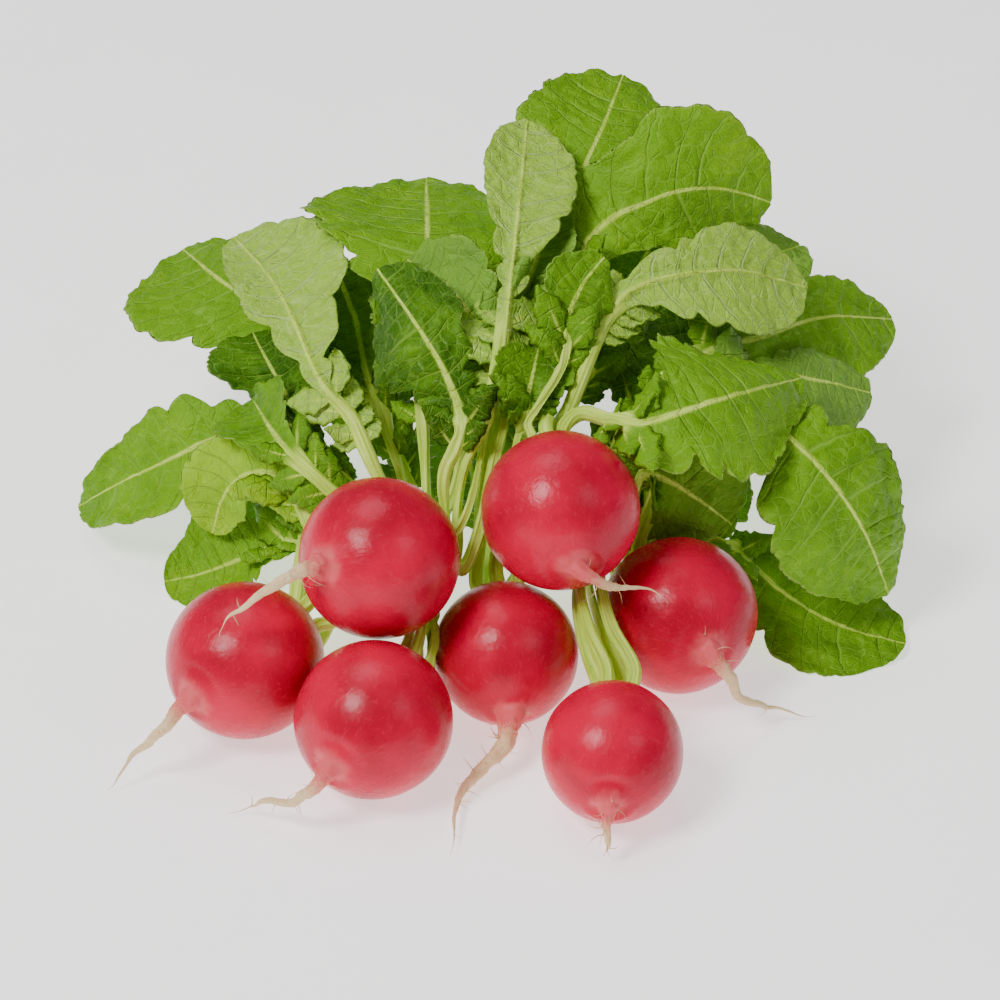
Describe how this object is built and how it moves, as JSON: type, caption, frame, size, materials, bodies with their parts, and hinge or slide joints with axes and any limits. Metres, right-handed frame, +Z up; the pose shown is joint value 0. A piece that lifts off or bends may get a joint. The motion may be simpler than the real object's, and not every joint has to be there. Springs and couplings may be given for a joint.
{
  "type": "bunch of radishes",
  "caption": "Bunch of fresh red radishes with taproots and green leaves, lying on its side.",
  "frame": {"origin": "centre of the bunch's bounding box on the surface it lies on", "axes": "+Z up from the surface, +Y from the roots towards the leaf tips, +X to the right seen from the roots"},
  "size_m": [0.1858, 0.183, 0.0876],
  "materials": {
    "radish_skin": "satin",
    "leaf_upper": "matte",
    "leaf_underside": "matte"
  },
  "bodies": {
    "root": {"leaf_back_left_low": "leaf_upper", "leaf_back_low": "leaf_upper", "leaf_back_right_low": "leaf_upper", "leaf_back_round": "leaf_upper", "leaf_back_small": "leaf_upper", "leaf_back_top": "leaf_upper", "leaf_behind_centre": "leaf_upper", "leaf_behind_far_right": "leaf_upper", "leaf_behind_left": "leaf_upper", "leaf_behind_right": "leaf_upper", "leaf_centre_folded": "leaf_upper", "leaf_centre_front": "leaf_upper", "leaf_centre_rolled": "leaf_upper", "leaf_centre_small": "leaf_upper", "leaf_glossy_cupped": "leaf_upper", "leaf_inside_left": "leaf_upper", "leaf_inside_middle": "leaf_upper", "leaf_inside_right": "leaf_upper", "leaf_left_dark": "leaf_upper", "leaf_left_fan": "leaf_upper", "leaf_left_folded": "leaf_upper", "leaf_left_inner": "leaf_upper", "leaf_left_long": "leaf_upper", "leaf_left_low": "leaf_upper", "leaf_left_pale": "leaf_underside", "leaf_left_round": "leaf_upper", "leaf_low_dark": "leaf_upper", "leaf_right_arched": "leaf_upper", "leaf_right_back": "leaf_upper", "leaf_right_broad": "leaf_upper", "leaf_right_far": "leaf_upper", "leaf_right_hanging": "leaf_upper", "leaf_right_inner": "leaf_upper", "leaf_right_low": "leaf_upper", "leaf_right_pale": "leaf_underside", "leaf_right_shaded": "leaf_upper", "leaf_right_wrinkled": "leaf_upper", "leaf_tall_pale": "leaf_underside", "radish_far_left": "radish_skin", "radish_far_right": "radish_skin", "radish_front_left": "radish_skin", "radish_front_right": "radish_skin", "radish_middle": "radish_skin", "radish_top_left": "radish_skin", "radish_top_right": "radish_skin"}
  },
  "joints": []
}
